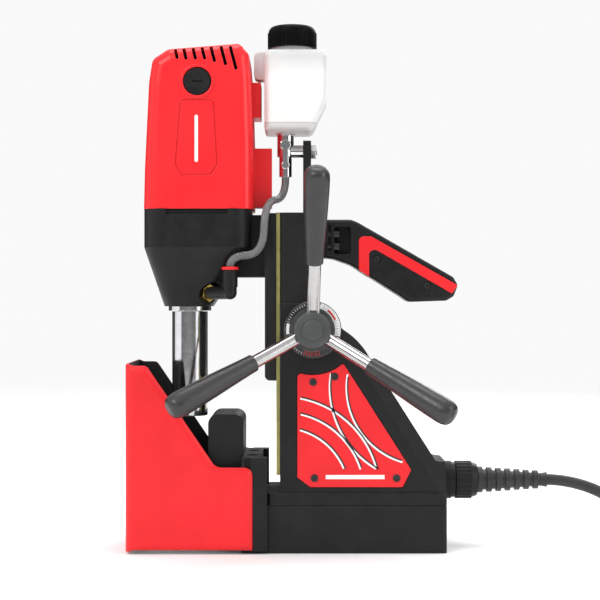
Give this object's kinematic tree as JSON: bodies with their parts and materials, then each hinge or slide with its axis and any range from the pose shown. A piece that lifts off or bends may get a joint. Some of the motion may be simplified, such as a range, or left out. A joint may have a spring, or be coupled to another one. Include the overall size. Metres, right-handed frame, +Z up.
{
  "type": "magnetic drill press",
  "caption": "Portable magnetic-base drill press: electromagnet foot, black frame, red motor on a rack-driven slide, spoked feed handle, coolant tank, cutter guard and mains lead.",
  "frame": {"origin": "centre of the magnet's pole face", "axes": "+Z up out of the pole face, +X towards the cable gland at the rear, -Y towards the side with the feed handle"},
  "size_m": [0.5285, 0.1874, 0.4144],
  "materials": {
    "red_gloss_plastic": "satin moulded",
    "red_painted_steel": "satin powder coat",
    "black_cast_aluminium": "fine-textured black powder coat",
    "black_painted_metal": "fine-textured powder coat",
    "black_plastic": "fine moulded grain",
    "grip_plastic": "fine moulded grain",
    "hub_grey": "satin",
    "chrome": "polished",
    "dial_metal": "turned",
    "steel": "machined",
    "stator_steel": "laminated",
    "copper": "wound wire",
    "brass": "dull",
    "coil_resin": "cast",
    "tank_white": "translucent",
    "green_plastic": "satin",
    "lamp_glass": "polished",
    "grey_hose": "smooth",
    "black_rubber": "satin"
  },
  "bodies": {
    "frame": {"magnet_core": "black_painted_metal", "magnet_coil": "coil_resin", "frame_casting": "black_cast_aluminium", "brass_wear_strips": "brass", "name_plate": "red_painted_steel", "cover_screws": "steel", "guard_carrier": "black_painted_metal", "frame_screws": "steel", "control_panel": "black_painted_metal", "lamp_lens": "lamp_glass", "rocker_bezel": "black_plastic", "circuit_board": "green_plastic", "handle_shell_near": "black_plastic", "handle_shell_far": "black_plastic", "handle_inlays": "red_gloss_plastic", "tank_bracket": "black_painted_metal", "coolant_tap": "chrome", "coolant_tank": "tank_white", "pinion_bushes": "brass", "dial_ring": "dial_metal", "mains_gland": "black_plastic", "strain_relief": "black_rubber", "mains_cord": "black_rubber", "cord_coil": "black_rubber", "plug_body": "black_rubber", "plug_pins": "steel"},
    "carriage": {"feed_slide": "black_cast_aluminium", "feed_rack": "steel", "slide_screws": "steel", "gearbox_casing": "black_plastic", "bearing_plate": "steel", "motor_housing": "red_gloss_plastic", "brush_caps": "black_plastic", "motor_brushes": "brass", "field_stator": "stator_steel", "field_windings": "copper", "spindle_bearings": "steel", "armature_bearings": "steel", "spindle_seal": "black_rubber", "brass_nipple": "brass", "elbow_fitting": "black_plastic", "collet_ring": "red_gloss_plastic", "coolant_hose": "grey_hose"},
    "spindle": {"arbor": "chrome", "arbor_screws": "steel", "spindle_gear": "steel"},
    "layshaft": {"layshaft_gears": "steel"},
    "armature": {"armature": "steel", "commutator": "copper", "cooling_fan": "green_plastic"},
    "capstan": {"feed_shaft": "steel", "hub": "hub_grey", "capstan_rods": "chrome", "capstan_grips": "grip_plastic"},
    "start_button": {"start_button": "green_plastic"},
    "stop_button": {"stop_button": "red_gloss_plastic"},
    "rocker": {"magnet_rocker": "black_plastic"},
    "tap": {"tap_lever": "chrome"},
    "cap": {"tank_cap": "black_plastic"},
    "guard": {"guard": "red_painted_steel"}
  },
  "joints": [
    {"name": "feed", "type": "slide", "parent": "frame", "child": "carriage", "axis": [0, 0, -1], "range_m": [0, 0.08], "deforming": ["coolant_hose"]},
    {"name": "capstan_turn", "type": "hinge", "parent": "frame", "child": "capstan", "pos_m": [-0.0243, 0, 0.173], "axis": [0, -1, 0], "range_deg": [0, 509.5]},
    {"name": "spindle_spin", "type": "hinge", "parent": "carriage", "child": "spindle", "pos_m": [-0.122, 0, 0.15], "axis": [0, 0, 1], "continuous": true},
    {"name": "layshaft_spin", "type": "hinge", "parent": "carriage", "child": "layshaft", "pos_m": [-0.11079, 0.01893, 0.25], "axis": [0, 0, 1], "continuous": true},
    {"name": "armature_spin", "type": "hinge", "parent": "carriage", "child": "armature", "pos_m": [-0.114, 0, 0.3], "axis": [0, 0, 1], "continuous": true},
    {"name": "start_press", "type": "slide", "parent": "frame", "child": "start_button", "axis": [0, -1, 0], "range_m": [0, 0.0025], "stiffness_N_per_m": 600},
    {"name": "stop_press", "type": "slide", "parent": "frame", "child": "stop_button", "axis": [0, -1, 0], "range_m": [0, 0.0025], "stiffness_N_per_m": 600},
    {"name": "rocker_tilt", "type": "hinge", "parent": "frame", "child": "rocker", "pos_m": [0.02, 0.036, 0.067], "axis": [0, 0, 1], "range_deg": [0, 16]},
    {"name": "tap_turn", "type": "hinge", "parent": "frame", "child": "tap", "pos_m": [-0.0456, -0.008, 0.319], "axis": [0, 1, 0], "range_deg": [0, 90]},
    {"name": "cap_turn", "type": "hinge", "parent": "frame", "child": "cap", "pos_m": [-0.0402, 0, 0.405], "axis": [0, 0, 1], "range_deg": [0, 540]},
    {"name": "guard_slide", "type": "slide", "parent": "frame", "child": "guard", "axis": [0, 0, 1], "range_m": [0, 0.04]}
  ],
  "couplings": [
    {"joint": "capstan_turn", "follows": "feed", "rad_per_m": 111.11},
    {"joint": "layshaft_spin", "follows": "spindle_spin", "ratio": -3},
    {"joint": "armature_spin", "follows": "spindle_spin", "ratio": 11.4}
  ]
}
